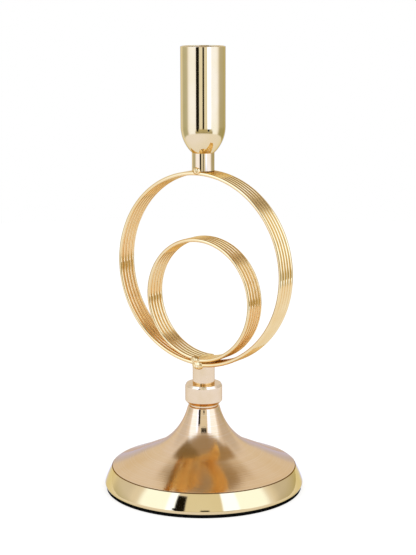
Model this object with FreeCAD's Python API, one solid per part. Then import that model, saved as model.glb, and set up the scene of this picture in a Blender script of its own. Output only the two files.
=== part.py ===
import FreeCAD, Part
import math
import os
from FreeCAD import Vector

# Taper candle holder: a spun bell foot, a turned collar and post, two wound wire rings, a bullet-nosed cup.
# Millimetres. Z is up, the foot rests on Z = 0, and the stem runs along the Z axis.
# Both rings are wound about axes parallel to Y, and the -Y side is the front.

# Foot: one skin of spun sheet, closed below by a crimped plate and a soft pad
BASE_RADIUS = 55.8
BASE_SHEET = 1.0
LIP_RADIUS = 2.0
LIP_START_ANGLE = 18.0
FLANGE_WIDTH = 2.8
SHOULDER_SETBACK = 4.1
SHOULDER_HEIGHT = 12.2
GROOVE_RADIUS = 0.35
FLARE_RADIUS = 35.2
NECK_RADIUS = 8.7
NECK_HEIGHT = 47.05
NECK_LEAN_ANGLE = 13.4
NECK_ROUNDING = 0.7
PLATE_THICKNESS = 1.5
PLATE_CLEARANCE = 0.3
PAD_THICKNESS = 1.35
PAD_SETBACK = 0.8

# Collar between the foot and the post
COLLAR_RADIUS = 10.35
COLLAR_HEIGHT = 11.8
COLLAR_LOWER_CHAMFER_WIDTH = 1.7
COLLAR_LOWER_CHAMFER_HEIGHT = 2.0
COLLAR_UPPER_CHAMFER_WIDTH = 0.75
COLLAR_UPPER_CHAMFER_HEIGHT = 1.4
BOSS_RADIUS = 7.8
BOSS_HEIGHT = 1.15

# Posts that the outer ring is welded between
LOWER_POST_RADIUS = 6.15
LOWER_POST_HEIGHT = 10.6
LOWER_POST_CHAMFER = 0.3
UPPER_POST_RADIUS = 6.2
UPPER_POST_HEIGHT = 9.8
UPPER_POST_CHAMFER = 0.2

# Wound wire rings
WIRE_RADIUS = 1.1
WIRE_GAP = 0.45
TURNS = 5
OUTER_RING_RADIUS = 53.2
INNER_RING_RADIUS = 33.6
RING_TO_RING_GAP = 0.3

# Stem fastening: a stud screwed into the lower post, clamped by a nut inside the foot
STUD_RADIUS = 3.0
STUD_GRIP = 7.5
STUD_END_CHAMFER = 0.5
STUD_BEYOND_NUT = 2.0
STUD_HOLE_SPARE = 1.0
THREAD_CLEARANCE = 0.05
PASSING_CLEARANCE = 0.3
STEM_WASHER_RADIUS = 6.0
STEM_WASHER_THICKNESS = 1.6
LOCK_WASHER_RADIUS = 5.9
LOCK_WASHER_THICKNESS = 1.6
LOCK_WASHER_SLIT = 0.8
LOCK_WASHER_SLIT_ANGLE = 20.0
NUT_ACROSS_FLATS = 10.0
NUT_THICKNESS = 5.0
NUT_CORNER_HEIGHT = 0.5

# Candle cup and the screw that holds it
CUP_RADIUS = 12.3
CUP_HEIGHT = 57.35
CUP_NOSE_HEIGHT = 14.4
CUP_WALL = 0.9
CUP_RIM_CHAMFER = 0.2
CUP_SCREW_RADIUS = 2.0
CUP_SCREW_LENGTH = 9.0
CUP_SCREW_HOLE_SPARE = 1.0
SCREW_HEAD_RADIUS = 3.9
SCREW_HEAD_HEIGHT = 2.4
SCREW_HEAD_CROWN = 0.7
DRIVER_SLOT_LENGTH = 4.2
DRIVER_SLOT_WIDTH = 0.9
DRIVER_SLOT_DEPTH = 1.3
CUP_WASHER_RADIUS = 4.5
CUP_WASHER_THICKNESS = 0.8

# Weld beads, each a few rounded lumps of run metal that are cut by what they join
WELD_CLEARANCE = 0.03
BEAD_HALF_LENGTH = 2.9
BEAD_HALF_WIDTH = 1.9
BEAD_HALF_HEIGHT = 2.2
SEAM_HALF_LENGTH = 2.6
SEAM_HALF_WIDTH = 4.6
SEAM_HALF_HEIGHT = 1.0
# Each lump: its centre as shares of the bead's half sizes, then its half sizes as shares of the same
BOTTOM_LUMP_SHARES = (((0.0, 0.1, 0.0), (1.0, 1.0, 1.05)), ((-0.35, 0.15, 1.35), (0.8, 0.9, 0.85)))
TOP_LUMP_SHARES = (((-0.05, 0.1, 0.1), (0.75, 0.9, 0.95)),)
SEAM_LUMP_SHARES = (((0.0, 0.0, 0.3), (1.0, 1.0, 1.0)),)

# Worked out from the sizes above
SHOULDER_RADIUS = BASE_RADIUS - SHOULDER_SETBACK
PITCH = 2 * WIRE_RADIUS + WIRE_GAP
PAD_RADIUS = BASE_RADIUS - PAD_SETBACK
COLLAR_BASE = NECK_HEIGHT
LOWER_POST_BASE = COLLAR_BASE + BOSS_HEIGHT + COLLAR_HEIGHT
LOWER_POST_TOP = LOWER_POST_BASE + LOWER_POST_HEIGHT
OUTER_RING_CENTRE = LOWER_POST_TOP + WELD_CLEARANCE + WIRE_RADIUS + OUTER_RING_RADIUS
INNER_RING_CENTRE = (OUTER_RING_CENTRE - OUTER_RING_RADIUS + 2 * WIRE_RADIUS + RING_TO_RING_GAP
                     + INNER_RING_RADIUS)
UPPER_POST_BASE = OUTER_RING_CENTRE + OUTER_RING_RADIUS + WIRE_RADIUS + WELD_CLEARANCE
CUP_BASE = UPPER_POST_BASE + UPPER_POST_HEIGHT
CUP_TOP = CUP_BASE + CUP_HEIGHT
WEB_UNDERSIDE = NECK_HEIGHT - BASE_SHEET
STEM_HOLE_RADIUS = STUD_RADIUS + PASSING_CLEARANCE
STUD_TAP_RADIUS = STUD_RADIUS + THREAD_CLEARANCE
CUP_SCREW_TAP_RADIUS = CUP_SCREW_RADIUS + THREAD_CLEARANCE
CUP_HOLE_RADIUS = CUP_SCREW_RADIUS + PASSING_CLEARANCE

ORIGIN = Vector(0, 0, 0)
UP = Vector(0, 0, 1)
FULL_TURN = 360
HALF_TURNS = 2 * TURNS
SAMPLES_PER_TURN = 400
SAMPLE_STRIDE = 8


# Outlines are drawn in the XZ half plane as (radius, height) and turned about Z

def at(radius, height):
    return Vector(radius, 0, height)


def line(start, end):
    return Part.LineSegment(start, end).toShape()


def arc(start, middle, end):
    return Part.Arc(start, middle, end).toShape()


def heading(angle):
    """Unit direction in the half plane, its angle in degrees from straight outward, turning up."""
    turn = math.radians(angle)
    return at(math.cos(turn), math.sin(turn))


def on_circle(centre, radius, angle):
    return centre + heading(angle) * radius


def arc_about(centre, radius, first_angle, last_angle):
    points = [on_circle(centre, radius, angle)
              for angle in (first_angle, (first_angle + last_angle) / 2, last_angle)]
    return arc(*points)


def turned_face(face):
    return face.revolve(ORIGIN, UP, FULL_TURN)


def turned(points):
    """Solid turned from a closed outline of straight lines."""
    corners = [at(radius, height) for radius, height in points]
    return turned_face(Part.Face(Part.makePolygon(corners + corners[:1])))


def ring(inner_radius, outer_radius, base, top):
    return turned([(inner_radius, base), (outer_radius, base), (outer_radius, top), (inner_radius, top)])


# Foot

def neck_edge():
    """Point where the neck's rounded edge passes into the flare."""
    lean = math.radians(NECK_LEAN_ANGLE)
    return at(NECK_RADIUS, NECK_HEIGHT - NECK_ROUNDING * (1 - math.sin(lean)))


def foot_curves(depth, flare_start_angle):
    """Flare, cone, band, lip and flange of the foot's sheet, at a depth behind its outer surface."""
    flare_centre = on_circle(neck_edge(), FLARE_RADIUS, NECK_LEAN_ANGLE)
    outer_shoulder = at(SHOULDER_RADIUS, SHOULDER_HEIGHT)
    away = outer_shoulder - flare_centre
    bearing = math.degrees(math.atan2(away.z, away.x))
    cone_angle = bearing + math.degrees(math.acos(-FLARE_RADIUS / away.Length))
    flare_radius = FLARE_RADIUS + depth
    cone_start = on_circle(flare_centre, flare_radius, cone_angle + 180)

    lip_centre = at(BASE_RADIUS - LIP_RADIUS, PAD_THICKNESS + LIP_RADIUS)
    chord = outer_shoulder - on_circle(lip_centre, LIP_RADIUS, LIP_START_ANGLE)
    outer_band_radius = chord.dot(chord) / (-2 * chord.dot(heading(LIP_START_ANGLE)))
    band_centre = on_circle(lip_centre, LIP_RADIUS - outer_band_radius, LIP_START_ANGLE)
    band_radius = outer_band_radius - depth

    downhill = heading(cone_angle - 90)
    offset = cone_start - band_centre
    nearness = offset.dot(downhill)
    reach = math.sqrt(nearness ** 2 - offset.dot(offset) + band_radius ** 2) - nearness
    shoulder = cone_start + downhill * reach
    shoulder_angle = math.degrees(math.atan2(shoulder.z - band_centre.z, shoulder.x - band_centre.x))
    lip_end = lip_centre - at(0, LIP_RADIUS - depth)
    return [
        arc_about(flare_centre, flare_radius, flare_start_angle + 180, cone_angle + 180),
        line(cone_start, shoulder),
        arc_about(band_centre, band_radius, shoulder_angle, LIP_START_ANGLE),
        arc_about(lip_centre, LIP_RADIUS - depth, LIP_START_ANGLE, -90),
        line(lip_end, lip_end - at(FLANGE_WIDTH, 0)),
    ]


def base_shell():
    """Spun sheet of even thickness, closed by a web at the neck, grooved along the band's top edge."""
    round_centre = on_circle(neck_edge(), -NECK_ROUNDING, NECK_LEAN_ANGLE)
    web_edge = on_circle(round_centre, NECK_ROUNDING, 90)
    flare_centre = on_circle(neck_edge(), FLARE_RADIUS, NECK_LEAN_ANGLE)
    lining_angle = math.degrees(math.asin((flare_centre.z - WEB_UNDERSIDE) / (FLARE_RADIUS + BASE_SHEET)))
    skin = foot_curves(0, NECK_LEAN_ANGLE)
    lining = foot_curves(BASE_SHEET, lining_angle)
    under_web = on_circle(flare_centre, FLARE_RADIUS + BASE_SHEET, lining_angle + 180)
    flange_edge = at(BASE_RADIUS - LIP_RADIUS - FLANGE_WIDTH, PAD_THICKNESS)
    closing = [
        line(at(STEM_HOLE_RADIUS, NECK_HEIGHT), web_edge),
        arc_about(round_centre, NECK_ROUNDING, 90, NECK_LEAN_ANGLE),
        line(flange_edge, flange_edge + at(0, BASE_SHEET)),
        line(under_web, at(STEM_HOLE_RADIUS, WEB_UNDERSIDE)),
        line(at(STEM_HOLE_RADIUS, WEB_UNDERSIDE), at(STEM_HOLE_RADIUS, NECK_HEIGHT)),
    ]
    outline = Part.Wire(Part.sortEdges(skin + lining + closing)[0])
    groove = Part.makeTorus(SHOULDER_RADIUS, GROOVE_RADIUS, at(0, SHOULDER_HEIGHT), UP)
    return turned_face(Part.Face(outline)).cut(groove)


def base_plate():
    """Steel disc held by the flange that is rolled in under it."""
    bottom = PAD_THICKNESS + BASE_SHEET
    radius = BASE_RADIUS - LIP_RADIUS - PLATE_CLEARANCE
    return ring(0, radius, bottom, bottom + PLATE_THICKNESS)


def base_pad():
    return ring(0, PAD_RADIUS, 0, PAD_THICKNESS)


# Collar and posts

def collar():
    chamfer_base = COLLAR_BASE + BOSS_HEIGHT
    top = chamfer_base + COLLAR_HEIGHT
    return turned([
        (STEM_HOLE_RADIUS, COLLAR_BASE),
        (BOSS_RADIUS, COLLAR_BASE),
        (BOSS_RADIUS, chamfer_base),
        (COLLAR_RADIUS - COLLAR_LOWER_CHAMFER_WIDTH, chamfer_base),
        (COLLAR_RADIUS, chamfer_base + COLLAR_LOWER_CHAMFER_HEIGHT),
        (COLLAR_RADIUS, top - COLLAR_UPPER_CHAMFER_HEIGHT),
        (COLLAR_RADIUS - COLLAR_UPPER_CHAMFER_WIDTH, top),
        (STEM_HOLE_RADIUS, top),
    ])


def lower_post():
    """Turned post, tapped from below for the stud."""
    hole_top = LOWER_POST_BASE + STUD_GRIP + STUD_HOLE_SPARE
    return turned([
        (STUD_TAP_RADIUS, LOWER_POST_BASE),
        (LOWER_POST_RADIUS - LOWER_POST_CHAMFER, LOWER_POST_BASE),
        (LOWER_POST_RADIUS, LOWER_POST_BASE + LOWER_POST_CHAMFER),
        (LOWER_POST_RADIUS, LOWER_POST_TOP),
        (0, LOWER_POST_TOP),
        (0, hole_top),
        (STUD_TAP_RADIUS, hole_top),
    ])


def upper_post():
    """Turned post, tapped from above for the cup's screw."""
    hole_base = screw_head_seat() - CUP_SCREW_LENGTH - CUP_SCREW_HOLE_SPARE
    return turned([
        (0, UPPER_POST_BASE),
        (UPPER_POST_RADIUS, UPPER_POST_BASE),
        (UPPER_POST_RADIUS, CUP_BASE - UPPER_POST_CHAMFER),
        (UPPER_POST_RADIUS - UPPER_POST_CHAMFER, CUP_BASE),
        (CUP_SCREW_TAP_RADIUS, CUP_BASE),
        (CUP_SCREW_TAP_RADIUS, hole_base),
        (0, hole_base),
    ])


# Stem fastening, from the web of the neck downwards

def stem_washer():
    return ring(STEM_HOLE_RADIUS, STEM_WASHER_RADIUS, WEB_UNDERSIDE - STEM_WASHER_THICKNESS, WEB_UNDERSIDE)


def stem_lock_washer():
    """Split spring washer, drawn as it lies when tightened."""
    top = WEB_UNDERSIDE - STEM_WASHER_THICKNESS
    washer = ring(STEM_HOLE_RADIUS, LOCK_WASHER_RADIUS, top - LOCK_WASHER_THICKNESS, top)
    slit = Part.makeBox(LOCK_WASHER_RADIUS, LOCK_WASHER_SLIT, 2 * LOCK_WASHER_THICKNESS)
    slit.translate(Vector(0, -LOCK_WASHER_SLIT / 2, -LOCK_WASHER_THICKNESS))
    slit.rotate(ORIGIN, Vector(1, 0, 0), LOCK_WASHER_SLIT_ANGLE)
    slit.translate(at(0, top - LOCK_WASHER_THICKNESS / 2))
    return washer.cut(slit)


def nut_top():
    return WEB_UNDERSIDE - STEM_WASHER_THICKNESS - LOCK_WASHER_THICKNESS


def stem_nut():
    """Hexagon nut whose corners are turned off at both faces."""
    base = nut_top() - NUT_THICKNESS
    corner_radius = NUT_ACROSS_FLATS / math.sqrt(3)
    turns = [math.radians(angle) for angle in range(0, FULL_TURN, FULL_TURN // 6)]
    corners = [Vector(corner_radius * math.cos(turn), corner_radius * math.sin(turn), base) for turn in turns]
    hexagon = Part.Face(Part.makePolygon(corners + corners[:1])).extrude(at(0, NUT_THICKNESS))
    flat_radius = NUT_ACROSS_FLATS / 2
    envelope = turned([
        (STUD_TAP_RADIUS, base),
        (flat_radius, base),
        (corner_radius, base + NUT_CORNER_HEIGHT),
        (corner_radius, nut_top() - NUT_CORNER_HEIGHT),
        (flat_radius, nut_top()),
        (STUD_TAP_RADIUS, nut_top()),
    ])
    return hexagon.common(envelope)


def stem_stud():
    base = nut_top() - NUT_THICKNESS - STUD_BEYOND_NUT
    top = LOWER_POST_BASE + STUD_GRIP
    return turned([
        (0, base),
        (STUD_RADIUS - STUD_END_CHAMFER, base),
        (STUD_RADIUS, base + STUD_END_CHAMFER),
        (STUD_RADIUS, top - STUD_END_CHAMFER),
        (STUD_RADIUS - STUD_END_CHAMFER, top),
        (0, top),
    ])


# Candle cup

def candle_cup():
    """Drawn cup of even wall: straight bore above, bullet nose below, flat floor on the post."""
    seat_radius = UPPER_POST_RADIUS
    narrowing = CUP_RADIUS - seat_radius
    nose_radius = (CUP_NOSE_HEIGHT ** 2 + narrowing ** 2) / (2 * narrowing)
    centre = at(CUP_RADIUS - nose_radius, CUP_BASE + CUP_NOSE_HEIGHT)
    seat_angle = -math.degrees(math.asin(CUP_NOSE_HEIGHT / nose_radius))
    inner_nose_radius = nose_radius - CUP_WALL
    floor_angle = -math.degrees(math.asin((CUP_NOSE_HEIGHT - CUP_WALL) / inner_nose_radius))
    floor = CUP_BASE + CUP_WALL
    bore_radius = CUP_RADIUS - CUP_WALL
    outer_seat = at(seat_radius, CUP_BASE)
    outer_side = at(CUP_RADIUS, centre.z)
    inner_side = at(bore_radius, centre.z)
    inner_floor = on_circle(centre, inner_nose_radius, floor_angle)
    rim_base = CUP_TOP - CUP_RIM_CHAMFER
    rim = [outer_side, at(CUP_RADIUS, rim_base), at(CUP_RADIUS - CUP_RIM_CHAMFER, CUP_TOP),
           at(bore_radius + CUP_RIM_CHAMFER, CUP_TOP), at(bore_radius, rim_base), inner_side]
    edges = [line(at(CUP_HOLE_RADIUS, CUP_BASE), outer_seat),
             arc_about(centre, nose_radius, seat_angle, 0)]
    edges += [line(start, end) for start, end in zip(rim, rim[1:])]
    edges += [arc_about(centre, inner_nose_radius, 0, floor_angle),
              line(inner_floor, at(CUP_HOLE_RADIUS, floor)),
              line(at(CUP_HOLE_RADIUS, floor), at(CUP_HOLE_RADIUS, CUP_BASE))]
    return turned_face(Part.Face(Part.Wire(edges)))


def screw_head_seat():
    return CUP_BASE + CUP_WALL + CUP_WASHER_THICKNESS


def cup_washer():
    return ring(CUP_HOLE_RADIUS, CUP_WASHER_RADIUS, CUP_BASE + CUP_WALL, screw_head_seat())


def cup_screw():
    """Pan-head screw with a cross recess."""
    seat = screw_head_seat()
    end = seat - CUP_SCREW_LENGTH
    top = seat + SCREW_HEAD_HEIGHT
    screw = turned([
        (0, end),
        (CUP_SCREW_RADIUS, end),
        (CUP_SCREW_RADIUS, seat),
        (SCREW_HEAD_RADIUS, seat),
        (SCREW_HEAD_RADIUS, top - SCREW_HEAD_CROWN),
        (SCREW_HEAD_RADIUS - SCREW_HEAD_CROWN, top),
        (0, top),
    ])
    slot = Part.makeBox(DRIVER_SLOT_LENGTH, DRIVER_SLOT_WIDTH, 2 * DRIVER_SLOT_DEPTH)
    slot.translate(Vector(-DRIVER_SLOT_LENGTH / 2, -DRIVER_SLOT_WIDTH / 2, top - DRIVER_SLOT_DEPTH))
    crossing = slot.copy()
    crossing.rotate(ORIGIN, UP, FULL_TURN / 4)
    return screw.cut([slot, crossing])


# Wound wire rings: the wire climbs one pitch towards +Y in every turn, from bottom front to bottom rear

def coil_station(ring_radius, centre_height, half_turn):
    """Point and direction of the wire's centre line after a number of half turns from the bottom."""
    turn = math.pi * half_turn
    along = PITCH * (half_turn - HALF_TURNS / 2) / 2
    point = Vector(ring_radius * math.sin(turn), along, centre_height - ring_radius * math.cos(turn))
    rise = PITCH / (2 * math.pi)
    direction = Vector(ring_radius * math.cos(turn), rise, ring_radius * math.sin(turn))
    return point, direction.normalize()


def tangent_arc(start, corner, end):
    """Arc from start to end that is tangent to both legs of the corner, and its radius."""
    middle = (start + end) / 2
    leg = (corner - start).Length
    half_chord = (end - start).Length / 2
    rise = (corner - middle).Length
    radius = half_chord * leg / rise
    sagitta = radius - math.sqrt(radius ** 2 - half_chord ** 2)
    return arc(start, middle + (corner - middle) * (sagitta / rise), end), radius


def half_turn_arcs(start, end):
    """Two arcs that join two stations half a turn apart, tangent to both and to each other."""
    (start_point, start_direction), (end_point, end_direction) = start, end
    span = end_point - start_point
    both = start_direction + end_direction
    bend = 2 * (1 - start_direction.dot(end_direction))
    along = span.dot(both)
    leg = (math.sqrt(along ** 2 + bend * span.dot(span)) - along) / bend
    first_corner = start_point + start_direction * leg
    last_corner = end_point - end_direction * leg
    joint = (first_corner + last_corner) / 2
    return [tangent_arc(start_point, first_corner, joint), tangent_arc(joint, last_corner, end_point)]


def coil_path(ring_radius, centre_height):
    """Centre line of a wound ring with straight ends one wire diameter long, and its smallest radius."""
    stations = [coil_station(ring_radius, centre_height, step) for step in range(HALF_TURNS + 1)]
    arcs = [piece for pair in zip(stations, stations[1:]) for piece in half_turn_arcs(*pair)]
    (first, first_direction), (last, last_direction) = stations[0], stations[-1]
    tail = 2 * WIRE_RADIUS
    edges = [line(first - first_direction * tail, first)]
    edges += [edge for edge, radius in arcs]
    edges += [line(last, last + last_direction * tail)]
    return Part.Wire(edges), min(radius for edge, radius in arcs)


def wire_along(path, radius):
    """One unbroken round wire along a path."""
    first = path.Edges[0]
    start = first.valueAt(first.FirstParameter)
    section = Part.Wire(Part.Circle(start, first.tangentAt(first.FirstParameter), radius).toShape())
    return path.makePipeShell([section], True, False)


def least_gap(path):
    """Smallest clear distance between one turn and another, on points along the centre line."""
    points = path.discretize(Number=TURNS * SAMPLES_PER_TURN)
    apart = SAMPLES_PER_TURN // 2
    nearest = min(points[i].distanceToPoint(points[j])
                  for i in range(0, len(points), SAMPLE_STRIDE) for j in range(i + apart, len(points)))
    return nearest - 2 * WIRE_RADIUS


def wound_ring(name, ring_radius, centre_height):
    """Wound ring, and a slightly fatter copy that cuts its seat into the weld beads."""
    path, tightest = coil_path(ring_radius, centre_height)
    print("%s: least radius %.2f mm, least gap to itself %.3f mm" % (name, tightest, least_gap(path)))
    return wire_along(path, WIRE_RADIUS), wire_along(path, WIRE_RADIUS + WELD_CLEARANCE)


# Weld beads

def lump(centre, half_sizes):
    """Ellipsoid at a centre, a unit ball stretched to its half sizes."""
    stretch = FreeCAD.Matrix()
    stretch.scale(*half_sizes)
    ball = Part.makeSphere(1).transformGeometry(stretch)
    ball.translate(centre)
    return ball


def bead(seat, half_sizes, lump_shares, facing, cutters):
    """Lumps about a seat, drawn for the front (facing 1) or turned to the rear (-1), then cut to fit."""
    lumps = []
    for centre_shares, size_shares in lump_shares:
        offset = [share * size for share, size in zip(centre_shares, half_sizes)]
        centre = seat + Vector(facing * offset[0], -facing * offset[1], offset[2])
        lumps.append(lump(centre, [share * size for share, size in zip(size_shares, half_sizes)]))
    metal = lumps[0].fuse(lumps[1:]) if lumps[1:] else lumps[0]
    rest = metal.cut(cutters)
    return max(rest.Solids, key=lambda solid: solid.Volume)


def seat_block(radius, base, top):
    """Post with the weld clearance added all round."""
    return ring(0, radius + WELD_CLEARANCE, base - WELD_CLEARANCE, top + WELD_CLEARANCE)


def bottom_weld(facing, outer_cutter, inner_cutter):
    """Bead over the ends of both wires, where they meet the lower post."""
    seat = Vector(0, -facing * PITCH * TURNS / 2, LOWER_POST_TOP + WIRE_RADIUS)
    post = seat_block(LOWER_POST_RADIUS, LOWER_POST_BASE, LOWER_POST_TOP)
    half_sizes = (BEAD_HALF_LENGTH, BEAD_HALF_WIDTH, BEAD_HALF_HEIGHT)
    return bead(seat, half_sizes, BOTTOM_LUMP_SHARES, facing, [outer_cutter, inner_cutter, post])


def top_weld(facing, outer_cutter):
    """Bead between the outermost turn and the edge of the upper post."""
    seat = Vector(0, -facing * (PITCH * (TURNS - 1) / 2 + WIRE_RADIUS / 2), UPPER_POST_BASE)
    post = seat_block(UPPER_POST_RADIUS, UPPER_POST_BASE, CUP_BASE)
    half_sizes = (BEAD_HALF_LENGTH, BEAD_HALF_WIDTH, BEAD_HALF_HEIGHT)
    return bead(seat, half_sizes, TOP_LUMP_SHARES, facing, [outer_cutter, post])


def inner_seam_weld(inner_cutter):
    """Low run of metal across the inner ring's turns at the bottom, on their inner side."""
    seat = Vector(0, PITCH, INNER_RING_CENTRE - INNER_RING_RADIUS + WIRE_RADIUS)
    half_sizes = (SEAM_HALF_LENGTH, SEAM_HALF_WIDTH, SEAM_HALF_HEIGHT)
    return bead(seat, half_sizes, SEAM_LUMP_SHARES, 1, [inner_cutter])


def build():
    outer_coil, outer_cutter = wound_ring("outer_coil", OUTER_RING_RADIUS, OUTER_RING_CENTRE)
    inner_coil, inner_cutter = wound_ring("inner_coil", INNER_RING_RADIUS, INNER_RING_CENTRE)
    return {
        "base_shell": base_shell(),
        "base_plate": base_plate(),
        "base_pad": base_pad(),
        "collar": collar(),
        "lower_post": lower_post(),
        "stem_stud": stem_stud(),
        "stem_washer": stem_washer(),
        "stem_lock_washer": stem_lock_washer(),
        "stem_nut": stem_nut(),
        "outer_coil": outer_coil,
        "inner_coil": inner_coil,
        "bottom_front_weld": bottom_weld(1, outer_cutter, inner_cutter),
        "bottom_rear_weld": bottom_weld(-1, outer_cutter, inner_cutter),
        "inner_seam_weld": inner_seam_weld(inner_cutter),
        "top_front_weld": top_weld(1, outer_cutter),
        "top_rear_weld": top_weld(-1, outer_cutter),
        "upper_post": upper_post(),
        "candle_cup": candle_cup(),
        "cup_washer": cup_washer(),
        "cup_screw": cup_screw(),
    }


os.makedirs("parts", exist_ok=True)
for node, shape in build().items():
    print("%s: %d solid, %.1f mm3, valid %s" % (node, len(shape.Solids), shape.Volume, shape.isValid()))
    shape.exportStep("parts/%s.step" % node)
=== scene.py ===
"""Dress the taper candle holder: a satin bell foot, a pale stem, two wound wire rings and a polished cup."""
import math

import bmesh
import bpy
import numpy as np
from bpy.props import FloatProperty, FloatVectorProperty, IntProperty, PointerProperty
from mathutils import Euler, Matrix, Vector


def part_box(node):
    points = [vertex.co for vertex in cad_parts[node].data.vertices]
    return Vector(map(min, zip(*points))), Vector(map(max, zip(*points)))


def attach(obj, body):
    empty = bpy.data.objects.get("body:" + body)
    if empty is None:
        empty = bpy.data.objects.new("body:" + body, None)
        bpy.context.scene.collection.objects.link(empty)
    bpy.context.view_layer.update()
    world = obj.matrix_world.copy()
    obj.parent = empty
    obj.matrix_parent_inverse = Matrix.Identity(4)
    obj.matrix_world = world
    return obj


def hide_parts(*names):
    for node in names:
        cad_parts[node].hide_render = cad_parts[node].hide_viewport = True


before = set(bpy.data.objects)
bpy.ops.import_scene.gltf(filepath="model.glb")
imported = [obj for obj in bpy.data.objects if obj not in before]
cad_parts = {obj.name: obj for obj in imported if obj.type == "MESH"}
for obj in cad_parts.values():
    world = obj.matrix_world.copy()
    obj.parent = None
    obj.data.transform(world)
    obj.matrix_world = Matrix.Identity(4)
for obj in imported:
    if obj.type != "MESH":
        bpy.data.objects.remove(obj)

bl_info = {
    "name": "Wound Ring Candle Holder",
    "version": (1, 0, 0),
    "blender": (4, 5, 0),
    "location": "3D View > Sidebar > Candle Holder",
    "description": "Builds the finished surfaces and materials of a taper candle holder on its solid frame",
    "category": "Object",
}

MM = 0.001
FULL_TURN = 2 * math.pi


# Places read from the frame

def base_of(name):
    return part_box(name)[0].z


def top_of(name):
    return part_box(name)[1].z


def half_width(name):
    low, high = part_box(name)
    return (high.x - low.x) / 2


def middle_height(name):
    return (base_of(name) + top_of(name)) / 2


# Kinds of settings

def length(label, default, what):
    return FloatProperty(name=label, default=default, unit="LENGTH", subtype="DISTANCE", description=what)


def angle(label, degrees, what):
    return FloatProperty(name=label, default=math.radians(degrees), subtype="ANGLE", description=what)


def share(label, default, what):
    return FloatProperty(name=label, default=default, min=0, max=1, subtype="FACTOR", description=what)


def colour(label, default, what):
    return FloatVectorProperty(name=label, default=default, size=3, min=0, max=4, subtype="COLOR",
                               description=what)


# Sizes and colours that a user would change

class FootSizes(bpy.types.PropertyGroup):
    radius: length("Radius", half_width("base_shell"), "Widest radius of the foot")
    sheet: length("Sheet", 1.0 * MM, "Thickness of the spun sheet")
    lip_radius: length("Lip radius", 2.0 * MM, "Radius of the rolled lip")
    lip_start: angle("Lip start", 18, "Direction of the surface where the band passes into the lip")
    flange: length("Flange", 2.8 * MM, "Width of the flange that is rolled in under the closing plate")
    shoulder_setback: length("Shoulder setback", 4.1 * MM, "Distance of the band's top edge inside the lip")
    shoulder_height: length("Shoulder height", 12.7 * MM, "Height of the band's top edge")
    groove: length("Groove", 0.32 * MM, "Radius of the groove along the band's top edge")
    cone_ease: length("Cone ease", 1.7 * MM, "Bend of the cone's outer end, 27/4 of its greatest depth")
    flare: length("Flare", 35.2 * MM, "Radius of the flare between neck and cone")
    neck_radius: length("Neck radius", 8.95 * MM, "Radius of the neck under the collar")
    neck_lean: angle("Neck lean", 13.4, "Lean of the neck where it starts")
    neck_rounding: length("Neck rounding", 0.7 * MM, "Rounded edge at the top of the neck")
    stem_hole: length("Stem hole", 3.3 * MM, "Radius of the hole in the web")
    pad_edge: length("Pad edge", 0.25 * MM, "Rounding of the foam pad's edge")


class StemSizes(bpy.types.PropertyGroup):
    collar_radius: length("Collar radius", half_width("collar"), "Radius of the turned collar")
    collar_lower_run: length("Lower chamfer width", 1.7 * MM, "Width of the collar's lower chamfer")
    collar_lower_rise: length("Lower chamfer height", 2.0 * MM, "Height of the collar's lower chamfer")
    collar_upper_run: length("Upper chamfer width", 0.75 * MM, "Width of the collar's upper chamfer")
    collar_upper_rise: length("Upper chamfer height", 1.4 * MM, "Height of the collar's upper chamfer")
    boss_radius: length("Boss radius", 7.8 * MM, "Radius of the boss under the collar")
    boss_height: length("Boss height", 1.15 * MM, "Height of the boss under the collar")
    lower_radius: length("Lower post radius", half_width("lower_post"), "Radius of the lower post")
    upper_radius: length("Upper post radius", half_width("upper_post"), "Radius of the upper post")
    edge: length("Edge", 0.22 * MM, "Rounding of the turned edges")
    stud_hole: length("Stud hole", 3.05 * MM, "Radius of the tapped hole for the stud")
    stud_hole_depth: length("Stud hole depth", 8.5 * MM, "Depth of the tapped hole for the stud")
    screw_hole: length("Screw hole", 2.05 * MM, "Radius of the tapped hole for the cup's screw")
    screw_hole_depth: length("Screw hole depth", 8.3 * MM, "Depth of the tapped hole for the cup's screw")
    stud_radius: length("Stud radius", half_width("stem_stud"), "Outer radius of the stud's thread")
    thread_pitch: length("Thread pitch", 1.0 * MM, "Rise of the stud's thread in one turn")
    thread_depth: length("Thread depth", 0.55 * MM, "Depth of the stud's thread")


class RingSizes(bpy.types.PropertyGroup):
    wire_radius: length("Wire radius", 1.1 * MM, "Radius of the wire")
    turns: IntProperty(name="Turns", default=5, min=1, max=24, description="Turns of wire in each ring")
    pitch: length("Pitch", 2.65 * MM, "Distance between neighbouring turns")
    outer_radius: length("Outer ring", half_width("outer_coil") - 1.1 * MM, "Radius of the large ring's wire")
    inner_radius: length("Inner ring", half_width("inner_coil") - 1.1 * MM, "Radius of the small ring's wire")
    tail: length("Tail", 2.2 * MM, "Straight length at each end of a wire")


class CupSizes(bpy.types.PropertyGroup):
    radius: length("Radius", half_width("candle_cup"), "Outer radius of the cup")
    wall: length("Wall", 0.9 * MM, "Thickness of the cup's wall")
    nose: length("Nose", 14.4 * MM, "Height of the bullet nose")
    rim: length("Rim", 0.3 * MM, "Rounding of the rim")
    hole: length("Hole", 2.3 * MM, "Radius of the hole for the screw")


class WeldSizes(bpy.types.PropertyGroup):
    half_length: length("Half length", 2.9 * MM, "Half length of a bead along the wire")
    half_width: length("Half width", 1.9 * MM, "Half width of a bead across the turns")
    half_height: length("Half height", 2.2 * MM, "Half height of a bead")
    seam_half_length: length("Seam half length", 2.6 * MM, "Half length of the inner ring's seam")
    seam_half_width: length("Seam half width", 4.6 * MM, "Half width of the inner ring's seam")
    seam_half_height: length("Seam half height", 1.0 * MM, "Half height of the inner ring's seam")
    ripple: share("Ripple", 0.07, "How lumpy the run metal is, as a share of its size")


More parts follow.
